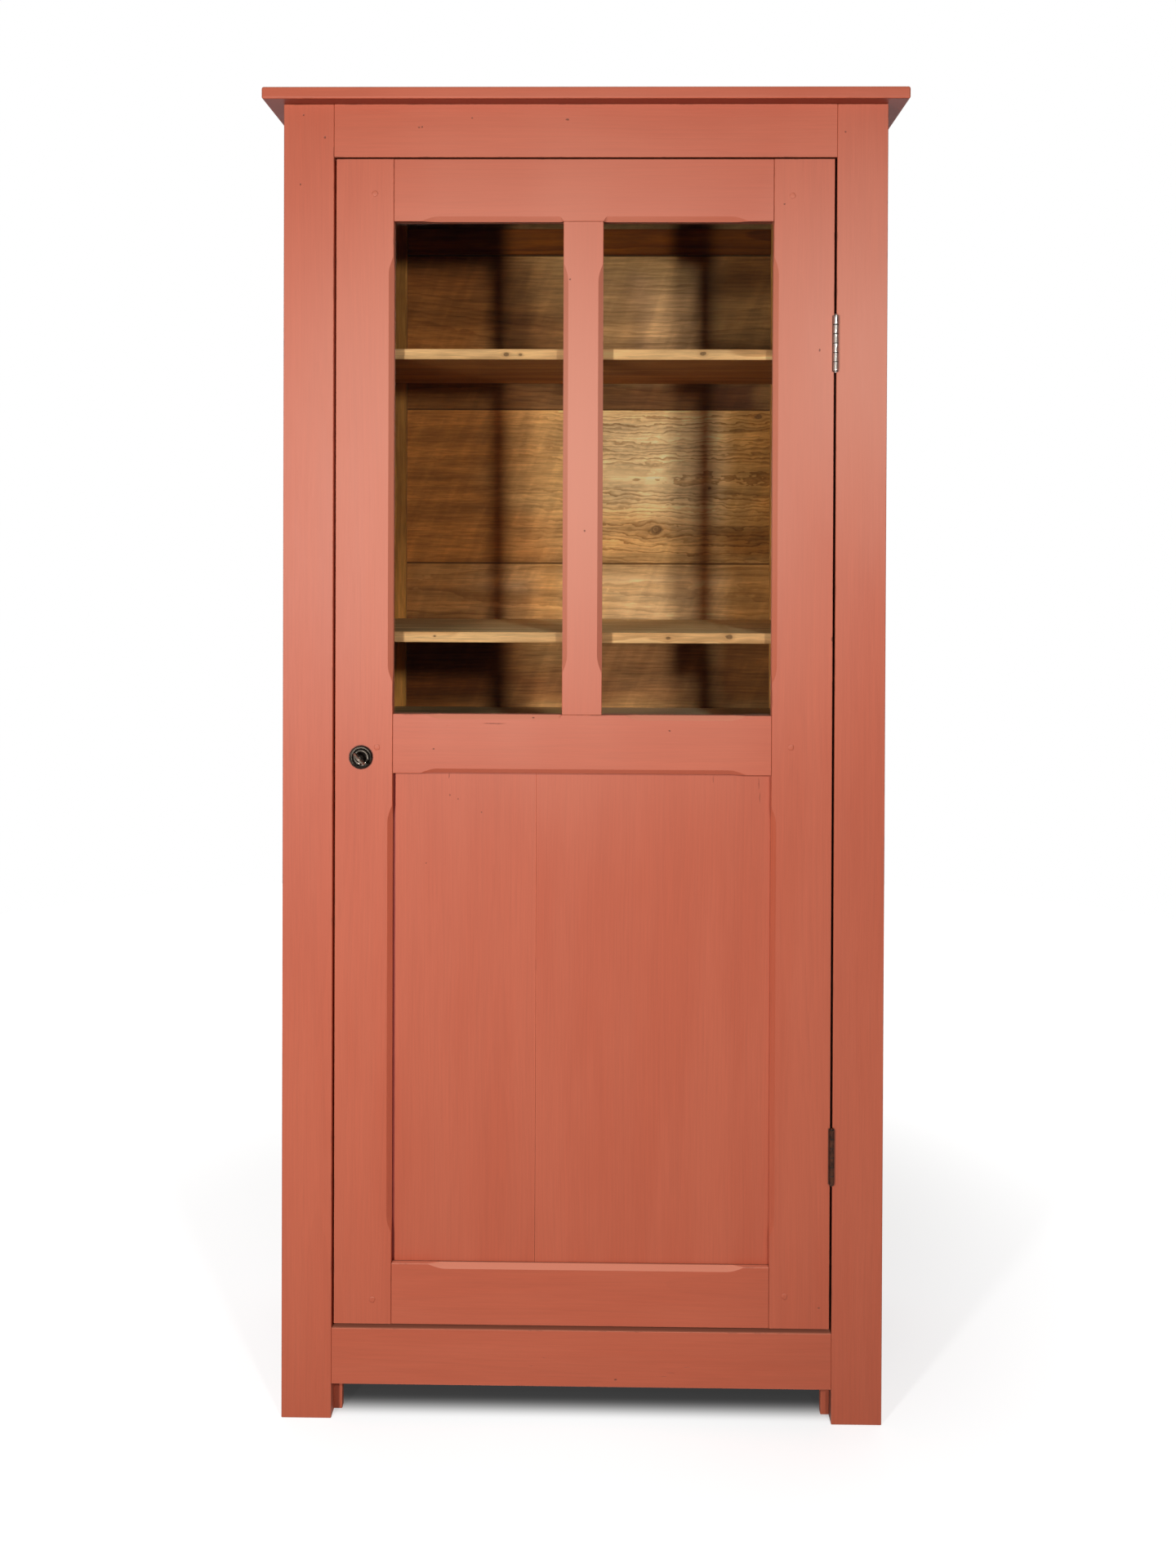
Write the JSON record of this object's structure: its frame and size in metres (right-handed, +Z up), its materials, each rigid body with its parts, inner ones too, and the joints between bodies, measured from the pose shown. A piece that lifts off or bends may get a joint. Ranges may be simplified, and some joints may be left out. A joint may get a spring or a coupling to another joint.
{
  "type": "glazed cupboard",
  "caption": "Tall free-standing painted pine cupboard with a framed door, glazed above and panelled below, loose shelves, butt hinges and a key lock.",
  "frame": {"origin": "centre of the bounding box on the floor, under the middle of the cupboard", "axes": "+Z up, front of the cupboard towards -Y, +X to the right when looking at the front"},
  "size_m": [0.902, 0.416, 1.8783],
  "materials": {
    "coral_paint": "worn satin coral red paint over pine, grain and brush marks showing",
    "old_pine": "bare old pine, brown with age",
    "new_pine": "bare pine, paler, small knots",
    "clear_glass": "clear drawn glass, slightly wavy",
    "bright_steel": "bright worn steel",
    "dark_steel": "dulled dark steel",
    "black_iron": "black iron, rubbed on the raised edges"
  },
  "bodies": {
    "carcass": {"front_stile_left": "coral_paint", "front_stile_right": "coral_paint", "front_top_rail": "coral_paint", "front_bottom_rail": "coral_paint", "door_stop_left": "coral_paint", "door_stop_right": "coral_paint", "side_front_stile_left": "coral_paint", "side_rear_stile_left": "coral_paint", "side_top_rail_left": "coral_paint", "side_bottom_rail_left": "coral_paint", "side_panel_left": "coral_paint", "side_front_stile_right": "coral_paint", "side_rear_stile_right": "coral_paint", "side_top_rail_right": "coral_paint", "side_bottom_rail_right": "coral_paint", "side_panel_right": "coral_paint", "cornice_board": "coral_paint", "back_stile_left": "old_pine", "back_stile_right": "old_pine", "back_batten": "old_pine", "back_board_1": "old_pine", "back_board_2": "old_pine", "back_board_3": "old_pine", "back_board_4": "old_pine", "back_board_5": "old_pine", "back_board_6": "old_pine", "back_board_7": "old_pine", "bottom_board": "old_pine", "shelf_upper": "new_pine", "shelf_middle": "new_pine", "shelf_lower": "new_pine", "shelf_base": "new_pine", "strike_plate": "dark_steel", "hinge_upper_frame_leaf": "bright_steel", "hinge_upper_pin": "bright_steel", "hinge_lower_frame_leaf": "dark_steel", "hinge_lower_pin": "dark_steel"},
    "door": {"door_stile_lock": "coral_paint", "door_stile_hinge": "coral_paint", "door_top_rail": "coral_paint", "door_lock_rail": "coral_paint", "door_bottom_rail": "coral_paint", "door_mullion": "coral_paint", "door_panel_left": "coral_paint", "door_panel_right": "coral_paint", "glass_left": "clear_glass", "glass_right": "clear_glass", "glazing_beads_left": "coral_paint", "glazing_beads_right": "coral_paint", "hinge_upper_door_leaf": "bright_steel", "hinge_lower_door_leaf": "dark_steel", "lock_plate": "dark_steel", "lock_case": "dark_steel", "escutcheon": "black_iron"},
    "key": {"key": "black_iron"},
    "bolt": {"lock_bolt": "dark_steel"}
  },
  "joints": [
    {"name": "door_swing", "type": "hinge", "parent": "carcass", "child": "door", "pos_m": [0.35235, -0.1852, 0.95], "axis": [0, 0, 1], "range_deg": [0, 175]},
    {"name": "key_turn", "type": "hinge", "parent": "door", "child": "key", "pos_m": [-0.3137, -0.182, 0.94], "axis": [0, -1, 0], "range_deg": [0, 180]},
    {"name": "bolt_slide", "type": "slide", "parent": "door", "child": "bolt", "axis": [-1, 0, 0], "range_m": [0, 0.0091]}
  ],
  "couplings": [
    {"joint": "bolt_slide", "follows": "key_turn", "m_per_rad": 0.0028647}
  ]
}
